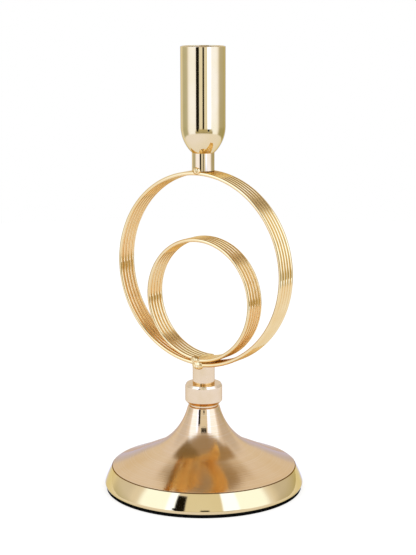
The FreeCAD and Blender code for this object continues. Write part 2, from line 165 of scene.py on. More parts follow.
class FinishColours(bpy.types.PropertyGroup):
    cup_gold: colour("Cup gold", (0.86, 0.605, 0.25), "Polished plating of the cup")
    cup_gold_deep: colour("Cup gold, deep", (0.83, 0.575, 0.21), "Deeper tone of the same plating")
    wire_gold: colour("Wire gold", (0.92, 0.625, 0.22), "Plating of the wound wire")
    wire_gold_deep: colour("Wire gold, deep", (0.88, 0.55, 0.165), "Deeper tone of the same plating")
    stem_gold: colour("Stem gold", (0.87, 0.60, 0.265), "Pale plating of the collar and the posts")
    stem_gold_deep: colour("Stem gold, deep", (0.83, 0.56, 0.225), "Deeper tone of the same plating")
    foot_gold: colour("Foot gold", (0.81, 0.51, 0.20), "Satin plating of the foot")
    foot_gold_deep: colour("Foot gold, deep", (0.77, 0.46, 0.16), "Deeper tone of the same plating")
    band_gold: colour("Band gold", (0.82, 0.55, 0.19), "Polished plating of the foot's band")
    band_gold_deep: colour("Band gold, deep", (0.80, 0.53, 0.175), "Deeper tone of the same plating")
    # The groove's two tones are dark: painted shade down in the groove, on a rougher plating
    groove_gold: colour("Groove gold", (0.30, 0.14, 0.03), "Dull plating down in the groove")
    groove_gold_deep: colour("Groove gold, deep", (0.24, 0.112, 0.024), "Deeper tone of the same plating")
    zinc: colour("Zinc", (0.62, 0.63, 0.64), "Zinc plating of the fasteners")
    zinc_deep: colour("Zinc, warm", (0.60, 0.58, 0.50), "Yellowish tone in the zinc plating")
    # The foam's deep tone, down in its cells, is painted shade in the pits
    foam: colour("Foam", (0.0088, 0.0088, 0.0088), "Black foam of the pad, on its cells' edges")
    foam_deep: colour("Foam, deep", (0.004, 0.004, 0.004), "The same foam, down in its cells")


class StudioSettings(bpy.types.PropertyGroup):
    azimuth: angle("Azimuth", 33.8, "Side of the object that the camera stands on")
    distance: length("Distance", 812.2 * MM, "Distance from the stem to the camera along the floor")
    height: length("Height", 275.8 * MM, "Height of the camera")
    pitch: angle("Pitch", 10.87, "How far the camera looks down")
    yaw: angle("Yaw", -0.177, "How far the camera looks past the stem")
    roll: angle("Roll", -0.1, "Roll of the camera")
    lens: FloatProperty(name="Lens", default=97.1, min=1, description="Focal length in millimetres")
    floor_radius: length("Floor radius", 1000 * MM, "Radius of the floor")
    table_radius: length("Table radius", 500 * MM, "Radius of the floor's pale middle, as metal sees it")
    floor_tone: colour("Floor", (0.40, 0.40, 0.40), "Colour of the floor under its own glow")
    floor_glow: colour("Floor glow", (0.68, 0.68, 0.68), "Light that the floor gives to the camera")
    floor_sheen: colour("Floor in metal", (0.53, 0.71, 1.62), "Light that the floor gives to metal")
    floor_behind: colour("Floor behind", (0.33, 0.31, 0.42), "The same, behind the stem")
    screen_distance: length("Screen distance", 700 * MM, "Distance of the low dark screen that metal sees")
    screen_height: length("Screen height", 125 * MM, "Height of the low dark screen")
    screen_tone: colour("Screen", (0.53, 0.56, 0.54), "Light that the low screen gives to metal")
    room_light: FloatProperty(name="Room light", default=0.9, min=0, description="Level of the room's light")


SETTINGS = {
    "holder_foot": FootSizes,
    "holder_stem": StemSizes,
    "holder_rings": RingSizes,
    "holder_cup": CupSizes,
    "holder_welds": WeldSizes,
    "holder_finish": FinishColours,
    "holder_studio": StudioSettings,
}


# Surfaces

# Points nearer to each other than this are one
MERGE = 0.0005 * MM


def linked(name, data):
    """New object in the scene."""
    held = bpy.data.objects.new(name, data)
    bpy.context.scene.collection.objects.link(held)
    return held


def piece_of(name, points, faces, materials, grain=None):
    """Smooth mesh in the scene, its doubled points merged and its faces turned outwards."""
    mesh = bpy.data.meshes.new(name)
    mesh.from_pydata(points.reshape(-1, 3).tolist(), [], faces.reshape(-1, 4).tolist())
    if grain is not None:
        held = mesh.attributes.new("wire_grain", "FLOAT_VECTOR", "POINT")
        held.data.foreach_set("vector", grain.ravel())
    work = bmesh.new()
    work.from_mesh(mesh)
    bmesh.ops.remove_doubles(work, verts=work.verts, dist=MERGE)
    bmesh.ops.recalc_face_normals(work, faces=work.faces)
    work.to_mesh(mesh)
    work.free()
    mesh.shade_smooth()
    for one in materials:
        mesh.materials.append(one)
    return linked(name, mesh)


def numbered(grid):
    """Number of each point of a grid, and of the point one column on, counted round."""
    rows, columns = grid.shape[:2]
    number = np.arange(rows * columns).reshape(rows, columns)
    return number, np.roll(number, -1, axis=1)


def surface(name, grid, materials):
    """Closed mesh on a grid of points, joined round in both directions.

    Row i, column j is joined to row i + 1 and column j + 1, counted round from the last to the first. Points
    that fall together, at a pole or on an axis, become one.
    """
    number, onward = numbered(grid)
    faces = np.stack([number, onward, np.roll(onward, -1, axis=0), np.roll(number, -1, axis=0)], axis=-1)
    return piece_of(name, grid, faces, materials)


def turned(name, outline, materials, steps):
    """Outline of (radius, height) rows turned about Z: x = r cos(a), y = r sin(a), z = h."""
    turn = np.linspace(0, FULL_TURN, steps, endpoint=False)
    radius, height = np.asarray(outline).T
    grid = np.stack([np.outer(np.cos(turn), radius), np.outer(np.sin(turn), radius),
                     np.tile(height, (steps, 1))], axis=-1)
    return surface(name, grid, materials)


# Steps round the turned pieces; the pad has as many as the cup
FOOT_STEPS = 360
CUP_STEPS = 240
COLLAR_STEPS = 180
POST_STEPS = 144

# Where the point outside each end of a rounded corner lies, as a share of the corner's reach
GUARD = 1.35


def softened(outline, radius, steps=6):
    """Round each corner of a closed outline.

    A corner P with its neighbours in directions a and b becomes the curve (1 - t)^2 (P + a d)
    + 2 t (1 - t) P + t^2 (P + b d), where d is the radius, or a third of the shorter side. A point just
    outside each end of the curve keeps the flat runs flat.
    """
    corner = np.array(outline, float)
    back, ahead = np.roll(corner, 1, axis=0) - corner, np.roll(corner, -1, axis=0) - corner
    back_run = np.linalg.norm(back, axis=1, keepdims=True)
    ahead_run = np.linalg.norm(ahead, axis=1, keepdims=True)
    reach = np.minimum(radius, np.minimum(back_run, ahead_run) / 3) * (corner[:, :1] > 0)
    start, end = corner + back / back_run * reach, corner + ahead / ahead_run * reach
    t = np.linspace(0, 1, steps)[None, :, None]
    curve = (1 - t) ** 2 * start[:, None] + 2 * t * (1 - t) * corner[:, None] + t ** 2 * end[:, None]
    first, last = corner + (start - corner) * GUARD, corner + (end - corner) * GUARD
    return np.concatenate([first[:, None], curve, last[:, None]], axis=1).reshape(-1, 2)


def arc(centre, radius, first, last, step=math.radians(2)):
    """Points of an arc: centre + radius (cos, sin) from the first angle to the last."""
    count = max(3, int(abs(last - first) / step) + 1)
    turn = np.linspace(first, last, count)
    return np.asarray(centre) + radius * np.stack([np.cos(turn), np.sin(turn)], axis=-1)


def direction(turn):
    return np.array([math.cos(turn), math.sin(turn)])


def bearing(vector):
    return math.atan2(vector[1], vector[0])


# Effects that several finishes share, each a node group

def fill(made, inputs):
    """Link a node's inputs to sockets, or set them to values."""
    for socket, value in inputs.items():
        if isinstance(value, bpy.types.NodeSocket):
            made.id_data.links.new(value, made.inputs[socket])
        else:
            made.inputs[socket].default_value = value
    return made


def node(tree, kind, inputs=None, **settings):
    """Add a shader node, set its settings and fill its inputs."""
    made = tree.nodes.new("ShaderNode" + kind)
    for setting, value in settings.items():
        setattr(made, setting, value)
    return fill(made, inputs or {})


def effect(name, result, kind, **inputs):
    """Empty node group with one result: its tree, its inputs' sockets and the node that takes its result."""
    tree = bpy.data.node_groups.new(name, "ShaderNodeTree")
    for label, held in inputs.items():
        tree.interface.new_socket(label, in_out="INPUT", socket_type="NodeSocket" + held)
    tree.interface.new_socket(result, in_out="OUTPUT", socket_type="NodeSocket" + kind)
    return tree, tree.nodes.new("NodeGroupInput").outputs, tree.nodes.new("NodeGroupOutput")


def mix_colour(tree, factor, first, second, label=""):
    """Mix of two colours; sockets 6, 7 and 2 are the mix node's colour inputs and its colour output."""
    mix = node(tree, "Mix", {"Factor": factor, 6: first, 7: second}, data_type="RGBA", label=label)
    return mix.outputs[2]


def math_node(tree, operation, first, second=0.0):
    return node(tree, "Math", {0: first, 1: second}, operation=operation).outputs[0]


def product(tree, first, second):
    return math_node(tree, "MULTIPLY", first, second)


def vector_math(tree, operation, first, second=(0.0, 0.0, 0.0), output="Vector"):
    return node(tree, "VectorMath", {0: first, 1: second}, operation=operation).outputs[output]


def ramp(tree, value, first, last):
    """None below the first level, one above the last, smooth between them; the levels may run downwards."""
    return node(tree, "MapRange", {"Value": value, "From Min": first, "From Max": last},
                interpolation_type="SMOOTHSTEP").outputs["Result"]


def noise(tree, place, scale, detail, roughness=0.5, distortion=0.0):
    return node(tree, "TexNoise", {"Vector": place, "Scale": scale, "Detail": detail, "Roughness": roughness,
                                   "Distortion": distortion}).outputs["Fac"]


def place_on(tree):
    """Place on the piece, counted from its origin."""
    return node(tree, "TexCoord").outputs["Object"]


# Levels of the noise between which a plating's deeper tone and its dust set in, and how much finer dust is
CLOUD_LEVELS = (0.32, 0.68)
DUST_LEVELS = (0.68, 0.76)
DUST_FINENESS = 22.0


def plating_tone():
    """Mix two tones of one plating by broad, soft clouds."""
    tree, given, out = effect("plating_tone", "Color", "Color", Light="Color", Deep="Color", Scale="Float")
    clouds = noise(tree, place_on(tree), given["Scale"], detail=3.0, roughness=0.55)
    level = ramp(tree, clouds, *CLOUD_LEVELS)
    fill(out, {"Color": mix_colour(tree, level, given["Light"], given["Deep"])})
    return tree


def handling_marks():
    """Vary a roughness with soft smears and a few fine dust specks."""
    tree, given, out = effect("handling_marks", "Roughness", "Float", Roughness="Float", Spread="Float",
                              Scale="Float")
    place = place_on(tree)
    smear = noise(tree, place, given["Scale"], detail=5.0, roughness=0.6, distortion=0.4)
    dust = noise(tree, place, product(tree, given["Scale"], DUST_FINENESS), detail=1.0)
    specks = node(tree, "MapRange", {"Value": dust, "From Min": DUST_LEVELS[0], "From Max": DUST_LEVELS[1]})
    centred = math_node(tree, "SUBTRACT", smear, 0.5)
    both = math_node(tree, "ADD", centred, specks.outputs["Result"])
    change = product(tree, both, given["Spread"])
    fill(out, {"Roughness": math_node(tree, "ADD", given["Roughness"], change)})
    return tree


def turned_lines():
    """Fine rings left by turning or spinning: one-dimensional noise of the radius less the height."""
    tree, given, out = effect("turned_lines", "Height", "Float", Spacing="Float")
    place = place_on(tree)
    parts = node(tree, "SeparateXYZ", {0: place})
    flat = node(tree, "CombineXYZ", {0: parts.outputs[0], 1: parts.outputs[1], 2: 0.0})
    radius = vector_math(tree, "LENGTH", flat.outputs[0], output="Value")
    along = math_node(tree, "SUBTRACT", radius, parts.outputs[2])
    scale = math_node(tree, "DIVIDE", 1.0, given["Spacing"])
    rings = node(tree, "TexNoise", {"W": along, "Scale": scale, "Detail": 3.0, "Roughness": 0.65},
                 noise_dimensions="1D")
    fill(out, {"Height": rings.outputs["Fac"]})
    return tree


def placed(tree, maker, inputs):
    """Place a shared effect in a material, building its group the first time."""
    group = bpy.data.node_groups.get(maker.__name__) or maker()
    return node(tree, "Group", inputs, node_tree=group).outputs[0]


# Finishes

def waves(tree, scale):
    """Soft unevenness of polished metal."""
    return noise(tree, place_on(tree), scale, detail=1.0)


def fine_grain(tree, scale):
    """Grain of a coat on plain steel."""
    return noise(tree, place_on(tree), scale, detail=2.0)


def cells(tree, scale):
    """Rounded cells of run metal or of foam."""
    made = node(tree, "TexVoronoi", {"Vector": place_on(tree), "Scale": scale}, feature="SMOOTH_F1")
    return made.outputs["Distance"]


def drawn_lines(tree, scale):
    """Fine lines along a wire, on its own round and lengthwise attribute."""
    grain = node(tree, "Attribute", attribute_name="wire_grain").outputs["Vector"]
    return noise(tree, grain, scale, detail=2.0)


def tool_lines(tree, spacing):
    """Rings left by turning or spinning."""
    return placed(tree, turned_lines, {"Spacing": spacing * MM})


# Tints that metal takes on where it's seen edge-on
DEEP_EDGE = (0.86, 0.74, 0.42)
WIRE_EDGE = (0.86, 0.70, 0.40)
PALE_EDGE = (0.86, 0.74, 0.56)
# Dark edge tint of the groove, part of its painted shade
GROOVE_SHADE_EDGE = (0.70, 0.50, 0.30)
CLEAR_EDGE = (1.0, 1.0, 1.0)

# Platings: tone; edge tint; how strongly it's brushed round the stem; scale of the clouds in its tone;
# roughness, how far its marks vary it and their scale; kind of its relief with its scale or its spacing in
# millimetres, its depth in millimetres and its strength
PLATINGS = {
    "cup_plating": ("cup_gold", DEEP_EDGE, 0.0, 45, 0.055, 0.05, 60, (waves, 140, 0.02, 0.5)),
    "post_plating": ("stem_gold", DEEP_EDGE, 0.0, 45, 0.055, 0.05, 60, (waves, 140, 0.02, 0.5)),
    "lining_plating": ("cup_gold", DEEP_EDGE, 0.0, 45, 0.36, 0.12, 90, (tool_lines, 0.5, 0.02, 0.5)),
    "wire_plating": ("wire_gold", WIRE_EDGE, 0.0, 40, 0.05, 0.03, 60, (drawn_lines, 4, 0.004, 0.15)),
    "weld_metal": ("wire_gold", WIRE_EDGE, 0.0, 500, 0.17, 0.15, 400, (cells, 900, 0.35, 0.8)),
    "turned_plating": ("stem_gold", PALE_EDGE, 0.4, 70, 0.13, 0.06, 80, (tool_lines, 0.3, 0.012, 0.5)),
    "satin_plating": ("foot_gold", PALE_EDGE, 0.8, 28, 0.065, 0.03, 35, (tool_lines, 0.9, 0.02, 0.8)),
    "band_plating": ("band_gold", DEEP_EDGE, 0.0, 30, 0.05, 0.05, 45, (tool_lines, 0.8, 0.01, 0.4)),
    # The groove's plating takes the dark groove tones: painted shade down in the groove
    "groove_shade_plating": ("groove_gold", GROOVE_SHADE_EDGE, 0.0, 60, 0.32, 0.10, 120, None),
    "zinc_plating": ("zinc", CLEAR_EDGE, 0.0, 120, 0.34, 0.18, 160, (fine_grain, 2200, 0.03, 0.5)),
}
QUARTER_TURN = 0.25

# Satin part of the foot: heights where it starts and is full, from above and from below, and how much
# rougher it is; painted highlight on the turned lines, which are made paler: levels where that starts and
# is full, its tone and its share
SATIN_FROM_TOP = (38 * MM, 30 * MM)
SATIN_FROM_BOTTOM = (15 * MM, 22 * MM)
SATIN_ROUGHNESS = 0.085
LINE_HIGHLIGHT_LEVELS = (0.5, 0.72)
LINE_HIGHLIGHT_TONE = (0.93, 0.74, 0.42, 1.0)
LINE_HIGHLIGHT_SHARE = 0.22


def finish(name):
    """New material with its tree and its shader."""
    made = bpy.data.materials.new(name)
    made.use_nodes = True
    return made, made.node_tree, made.node_tree.nodes["Principled BSDF"]


def tones_of(name):
    """Light and deep tone of a finish, with their alpha."""
    tones = bpy.context.scene.holder_finish
    return (*getattr(tones, name), 1.0), (*getattr(tones, name + "_deep"), 1.0)


def raised(tree, height, depth, strength):
    """Normal of a relief; its depth is in millimetres."""
    return node(tree, "Bump", {"Height": height, "Distance": depth * MM, "Strength": strength}).outputs[0]


def plated(name):
    """Plated metal by its row of the table."""
    tone_name, edge_tint, brushed, clouds, roughness, spread, marks, relief = PLATINGS[name]
    made, tree, shader = finish(name)
    light, deep = tones_of(tone_name)
    tone = placed(tree, plating_tone, {"Light": light, "Deep": deep, "Scale": clouds})
    rough = placed(tree, handling_marks, {"Roughness": roughness, "Spread": spread, "Scale": marks})
    if relief:
        kind, size, depth, strength = relief
        height = kind(tree, size)
        fill(shader, {"Normal": raised(tree, height, depth, strength)})
    if name == "satin_plating":
        tone, rough = satin(tree, tone, rough, height)
    fill(shader, {"Metallic": 1.0, "Specular Tint": (*edge_tint, 1.0)})
    fill(shader, {"Base Color": tone, "Roughness": rough})
    if brushed:
        tangent = node(tree, "Tangent", direction_type="RADIAL", axis="Z").outputs[0]
        fill(shader, {"Anisotropic": brushed, "Anisotropic Rotation": QUARTER_TURN, "Tangent": tangent})
    return made


def satin(tree, tone, rough, lines):
    """Make the foot rougher half way down, and paint highlights on its turned lines."""
    height = node(tree, "SeparateXYZ", {0: place_on(tree)}).outputs[2]
    middle = product(tree, ramp(tree, height, *SATIN_FROM_TOP), ramp(tree, height, *SATIN_FROM_BOTTOM))
    rougher = product(tree, middle, SATIN_ROUGHNESS)
    # Painted highlight: the turned lines are made paler, as if their tilt caught the soft boxes
    line_highlight = product(tree, ramp(tree, lines, *LINE_HIGHLIGHT_LEVELS), LINE_HIGHLIGHT_SHARE)
    return mix_colour(tree, line_highlight, tone, LINE_HIGHLIGHT_TONE), math_node(tree, "ADD", rough, rougher)


def foamed(name):
    """Closed-cell foam: small cells, pressed flat, hardly any gloss."""
    made, tree, shader = finish(name)
    light, deep = tones_of("foam")
    cell = cells(tree, 1600)
    rough = placed(tree, handling_marks, {"Roughness": 0.86, "Spread": 0.15, "Scale": 120})
    # The cells' bottoms take the deep tone: painted shade in the pits of the foam
    fill(shader, {"Specular IOR Level": 0.0, "Base Color": mix_colour(tree, cell, deep, light),
                  "Roughness": rough, "Normal": raised(tree, cell, depth=0.15, strength=0.7)})
    return made


def material(name):
    """Finish by name, made when it is first asked for."""
    return bpy.data.materials.get(name) or (plated if name in PLATINGS else foamed)(name)


def lay_out(mesh, slots):
    """Give each face the finish of its slot."""
    mesh.polygons.foreach_set("material_index", slots.astype(np.int32))


def settle(piece, name):
    """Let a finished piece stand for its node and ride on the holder."""
    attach(piece, "root")
    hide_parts(name)


def dress_node(name, finish_name):
    """Give a solid of the frame its finish."""
    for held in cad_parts[name].material_slots:
        held.material = material(finish_name)


def face_rows(mesh, what):
    """Rows of x, y and z, one for each face: its center or its normal."""
    rows = np.empty(len(mesh.polygons) * 3)
    mesh.polygons.foreach_get(what, rows)
    return rows.reshape(-1, 3)


# Foot

# Where the last row of faces before a crease starts, as a share of the run; it keeps the crease crisp.
CREASE = 0.995


def neck_and_flare(sizes):
    """Edge of the neck, and the centre of the flare that starts there."""
    neck = np.array([sizes.neck_radius,
                     top_of("base_shell") - sizes.neck_rounding * (1 - math.sin(sizes.neck_lean))])
    return neck, neck + direction(sizes.neck_lean) * sizes.flare


def foot_run(sizes, depth, flare_start):
    """Flare, cone, groove or plain shoulder, band, lip and flange, at a depth behind the outer surface."""
    flare_centre = neck_and_flare(sizes)[1]
    shoulder = np.array([sizes.radius - sizes.shoulder_setback, sizes.shoulder_height])
    away = shoulder - flare_centre
    cone = bearing(away) + math.acos(-sizes.flare / np.linalg.norm(away))
    flare_radius = sizes.flare + depth
    cone_start = flare_centre - direction(cone) * flare_radius

    lip_centre = np.array([sizes.radius - sizes.lip_radius, base_of("base_shell") + sizes.lip_radius])
    chord = shoulder - lip_centre - direction(sizes.lip_start) * sizes.lip_radius
    outer_band = chord.dot(chord) / (-2 * chord.dot(direction(sizes.lip_start)))
    band_centre = lip_centre + direction(sizes.lip_start) * (sizes.lip_radius - outer_band)
    band_radius = outer_band - depth

    downhill = direction(cone - math.pi / 2)
    offset = cone_start - band_centre
    nearness = offset.dot(downhill)
    reach = math.sqrt(nearness ** 2 - offset.dot(offset) + band_radius ** 2) - nearness
    corner = cone_start + downhill * reach
    corner_bearing = bearing(corner - band_centre)
    groove = sizes.groove if depth == 0 else 0.0
    cone_end = corner - downhill * groove
    band_start = corner_bearing + (-groove / band_radius if band_radius > 0 else 0.0)
    t = np.append(np.linspace(0, 1, 24)[1:-1], [CREASE, 1.0])[:, None]
    eased = cone_start + (cone_end - cone_start) * t - direction(cone) * sizes.cone_ease * t ** 2 * (1 - t)
    pieces = [arc(flare_centre, flare_radius, flare_start + math.pi, cone + math.pi), eased]
    if groove:
        first = bearing(cone_end - corner)
        last = bearing(band_centre + direction(band_start) * band_radius - corner) + FULL_TURN
        pieces.append(arc(corner, groove, first, last, math.radians(15)))
    flange_end = lip_centre - [sizes.flange, sizes.lip_radius - depth]
    crease_end = sizes.lip_start + (band_start - sizes.lip_start) * CREASE
    pieces += [[band_centre + direction(band_start) * band_radius],
               arc(band_centre, band_radius, crease_end, sizes.lip_start),
               arc(lip_centre, sizes.lip_radius - depth, sizes.lip_start, -math.pi / 2, math.radians(6)),
               [flange_end]]
    return np.concatenate(pieces)


def foot_outline(sizes):
    """Closed outline of the spun sheet: the outer run down, and the lining back up to the web."""
    top = top_of("base_shell")
    neck, flare_centre = neck_and_flare(sizes)
    round_centre = neck - direction(sizes.neck_lean) * sizes.neck_rounding
    underside = top - sizes.sheet
    lining_start = math.asin((flare_centre[1] - underside) / (sizes.flare + sizes.sheet))
    outer = foot_run(sizes, 0.0, sizes.neck_lean)
    lining = foot_run(sizes, sizes.sheet, lining_start)[::-1]
    edge = arc(round_centre, sizes.neck_rounding, math.pi / 2, sizes.neck_lean, math.radians(8))
    hole = [[sizes.stem_hole, underside], [sizes.stem_hole, top]]
    web = [[round_centre[0] - sizes.neck_rounding, top]]
    return np.concatenate([edge, outer, lining, hole, web])


# How far the groove's faces may lie from its middle, as a share of its radius
GROOVE_REACH = 1.1


class HOLDER_OT_foot(bpy.types.Operator):
    """Spin the foot's sheet, satin above its groove and polished on the band below"""
    bl_idname = "holder.foot"
    bl_label = "Foot"

    def execute(self, context):
        sizes = context.scene.holder_foot
        finishes = [material(name) for name in ("satin_plating", "band_plating", "groove_shade_plating")]
        piece = turned("foot", foot_outline(sizes), finishes, FOOT_STEPS)
        across, deep, height = face_rows(piece.data, "center").T
        from_edge = np.hypot(np.hypot(across, deep) - sizes.radius + sizes.shoulder_setback,
                             height - sizes.shoulder_height)
        # Faces in the groove take the plating whose dark tone is painted shade down in the groove
        slots = np.where(from_edge < sizes.groove * GROOVE_REACH, 2, height < sizes.shoulder_height)
        lay_out(piece.data, slots)
        settle(piece, "base_shell")
        return {"FINISHED"}


class HOLDER_OT_foot_closure(bpy.types.Operator):
    """Close the foot from below with its steel plate and the foam pad"""
    bl_idname = "holder.foot_closure"
    bl_label = "Foot Plate and Pad"

    def execute(self, context):
        sizes = context.scene.holder_foot
        radius, low, high = half_width("base_pad"), base_of("base_pad"), top_of("base_pad")
        outline = softened([(0, low), (radius, low), (radius, high), (0, high)], sizes.pad_edge)
        settle(turned("pad", outline, [material("pad_foam")], CUP_STEPS), "base_pad")
        dress_node("base_plate", "zinc_plating")
        return {"FINISHED"}


# Collar and posts

class HOLDER_OT_collar(bpy.types.Operator):
    """Turn the collar between the foot and the lower post"""
    bl_idname = "holder.collar"
    bl_label = "Collar"

    def execute(self, context):
        sizes = context.scene.holder_stem
        hole = context.scene.holder_foot.stem_hole
        low, high = base_of("collar"), top_of("collar")
        waist = low + sizes.boss_height
        outline = softened([
            (hole, low),
            (sizes.boss_radius, low),
            (sizes.boss_radius, waist),
            (sizes.collar_radius - sizes.collar_lower_run, waist),
            (sizes.collar_radius, waist + sizes.collar_lower_rise),
            (sizes.collar_radius, high - sizes.collar_upper_rise),
            (sizes.collar_radius - sizes.collar_upper_run, high),
            (hole, high),
        ], sizes.edge)
        piece = turned("collar_turned", outline, [material("turned_plating")], COLLAR_STEPS)
        settle(piece, "collar")
        return {"FINISHED"}


class HOLDER_OT_posts(bpy.types.Operator):
    """Turn the two short posts, each with its tapped hole"""
    bl_idname = "holder.posts"
    bl_label = "Posts"

    def execute(self, context):
        sizes = context.scene.holder_stem
        low, high = base_of("lower_post"), top_of("lower_post")
        outline = [(sizes.stud_hole, low), (sizes.lower_radius, low), (sizes.lower_radius, high), (0, high),
                   (0, low + sizes.stud_hole_depth), (sizes.stud_hole, low + sizes.stud_hole_depth)]
        finishes = [material("turned_plating")]
        post = turned("lower_post_turned", softened(outline, sizes.edge), finishes, POST_STEPS)
        settle(post, "lower_post")
        low, high = base_of("upper_post"), top_of("upper_post")
        floor = high - sizes.screw_hole_depth
        outline = [(0, low), (sizes.upper_radius, low), (sizes.upper_radius, high), (sizes.screw_hole, high),
                   (sizes.screw_hole, floor), (0, floor)]
        finishes = [material("post_plating")]
        post = turned("upper_post_turned", softened(outline, sizes.edge), finishes, POST_STEPS)
        settle(post, "upper_post")
        return {"FINISHED"}


# Wound wire rings

# Height of a wire end's dome, as a share of the wire's radius
DOME = 0.35

# Steps along one turn of a ring and round the wire, and stretch of the drawn lines along the wire
STEPS_PER_TURN = 300
WIRE_STEPS = 28
GRAIN_STRETCH = 6


def carried_on(rows, count):
    """Rows with the first and the last repeated beyond the ends."""
    return np.pad(rows, ((count, count), (0, 0)), mode="edge")


def wire_line(sizes, ring_radius, centre_height):
    """Points, headings and outward directions along a wound wire with straight ends.

    At turn t the wire stands at (R sin t, pitch (t / 2 pi - turns / 2), centre - R cos t), so it climbs one
    pitch towards the rear in every turn.
    """
    turn = np.linspace(0, FULL_TURN * sizes.turns, STEPS_PER_TURN * sizes.turns + 1)
    ring = np.stack([np.sin(turn), 0 * turn, -np.cos(turn)], axis=-1)
    point = ring * ring_radius + [0, -sizes.pitch * sizes.turns / 2, centre_height]
    point[:, 1] += sizes.pitch * turn / FULL_TURN
    heading = np.stack([ring_radius * np.cos(turn), 0 * turn + sizes.pitch / FULL_TURN,
                        ring_radius * np.sin(turn)], axis=-1)
    heading /= np.linalg.norm(heading, axis=1, keepdims=True)
    tail = np.linspace(0, sizes.tail, 5)[1:, None]
    before, after = point[0] - heading[0] * tail[::-1], point[-1] + heading[-1] * tail
    return np.concatenate([before, point, after]), carried_on(heading, len(tail)), carried_on(ring, len(tail))


def wire(name, point, heading, outward, radius, materials):
    """Round wire about a line: point + radius (cos(a) outward + sin(a) sideways), closed by domed ends."""
    dome = np.linspace(math.pi / 2, 0, 6)[:-1]
    swell = np.concatenate([np.cos(dome), np.ones(len(point)), np.cos(dome)[::-1]]) * radius
    inset = radius * DOME
    push = np.sin(dome)[:, None] * inset
    start, end = point[0] + heading[0] * inset, point[-1] - heading[-1] * inset
    line = np.concatenate([start - heading[0] * push, [start], point[1:-1], [end],
                           end + heading[-1] * push[::-1]])
    outward, heading = carried_on(outward, len(dome)), carried_on(heading, len(dome))
    sideways = np.cross(heading, outward)
    turn = np.linspace(0, FULL_TURN, WIRE_STEPS, endpoint=False)
    spoke = np.cos(turn)[None, :, None] * outward[:, None] + np.sin(turn)[None, :, None] * sideways[:, None]
    grid = line[:, None] + spoke * swell[:, None, None]
    travelled = np.concatenate([[0], np.cumsum(np.linalg.norm(np.diff(line, axis=0), axis=1))])
    grain = np.stack([np.tile(np.cos(turn), (len(line), 1)), np.tile(np.sin(turn), (len(line), 1)),
                      np.tile(travelled[:, None] * GRAIN_STRETCH, (1, WIRE_STEPS))], axis=-1)
    number, onward = numbered(grid)
    faces = np.stack([number[:-1], onward[:-1], onward[1:], number[1:]], axis=-1)
    return piece_of(name, grid, faces, materials, grain)


class HOLDER_OT_rings(bpy.types.Operator):
    """Wind both rings, each from one length of wire"""
    bl_idname = "holder.rings"
    bl_label = "Wound Rings"

    def execute(self, context):
        sizes = context.scene.holder_rings
        for name, coil, radius in (("outer_ring", "outer_coil", sizes.outer_radius),
                                   ("inner_ring", "inner_coil", sizes.inner_radius)):
            line = wire_line(sizes, radius, middle_height(coil))
            piece = wire(name, *line, sizes.wire_radius, [material("wire_plating")])
            settle(piece, coil)
        return {"FINISHED"}


# Weld beads

# Each lump: its centre and its half sizes, as shares of the bead's
BOTTOM_LUMPS = {
    "front": (((0.25, 0.1, -0.1), (1.25, 1.0, 1.1)), ((-0.2, 0.15, 1.3), (1.1, 0.95, 0.95))),
    "rear": (((0.0, 0.1, 0.0), (1.0, 1.0, 1.05)), ((-0.2, 0.1, 0.6), (0.8, 0.9, 0.8))),
}
TOP_LUMPS = (((-0.05, 0.1, 0.1), (0.75, 0.9, 0.95)),)
SEAM_LUMPS = (((0.0, 0.0, -0.5), (1.0, 1.0, 0.85)),)

# Rows and columns of a bead, and the crossed waves in it: how often each turns along x, y and z; its start
BEAD_ROWS = 49
BEAD_COLUMNS = 72
BEAD_WAVES = (((9, 0, 4), 0), ((-5, 8, 0), 1), ((0, 3, 11), 2))


def bead(name, seat, half_sizes, lumps, facing, ripple):
    """Run metal about a seat, seen along rays from the seat.

    Each lump is an ellipsoid with centre c and half sizes h. A ray d leaves it at the larger root s of
    |(s d - c) / h| = 1, and the bead's radius along d is the largest root, rippled by three crossed waves.
    """
    rise = np.linspace(0, math.pi, BEAD_ROWS)[:, None]
    turn = np.linspace(0, FULL_TURN, BEAD_COLUMNS, endpoint=False)[None, :]
    ray = np.stack([np.sin(rise) * np.cos(turn), np.sin(rise) * np.sin(turn), np.cos(rise) + 0 * turn],
                   axis=-1)
    roots = []
    for centre_shares, size_shares in lumps:
        centre = np.array(centre_shares) * half_sizes * [facing, -facing, 1]
        half = np.array(size_shares) * half_sizes
        square = ((ray / half) ** 2).sum(-1)
        middle = (ray * centre / half ** 2).sum(-1) / square
        under = middle ** 2 - (((centre / half) ** 2).sum() - 1) / square
        roots.append(np.where(under > 0, middle + np.sqrt(np.maximum(under, 0)), 0))
    waves = sum(np.sin(ray @ np.array(often) + start) for often, start in BEAD_WAVES) / len(BEAD_WAVES)
    radius = np.maximum.reduce(roots) * (1 + ripple * waves)
    grid = np.array(seat) + ray * radius[..., None]
    cap = np.repeat(grid[:1].mean(axis=1, keepdims=True), grid.shape[1], axis=1)
    return surface(name, np.concatenate([cap, grid, grid[-1:]]), [material("weld_metal")])


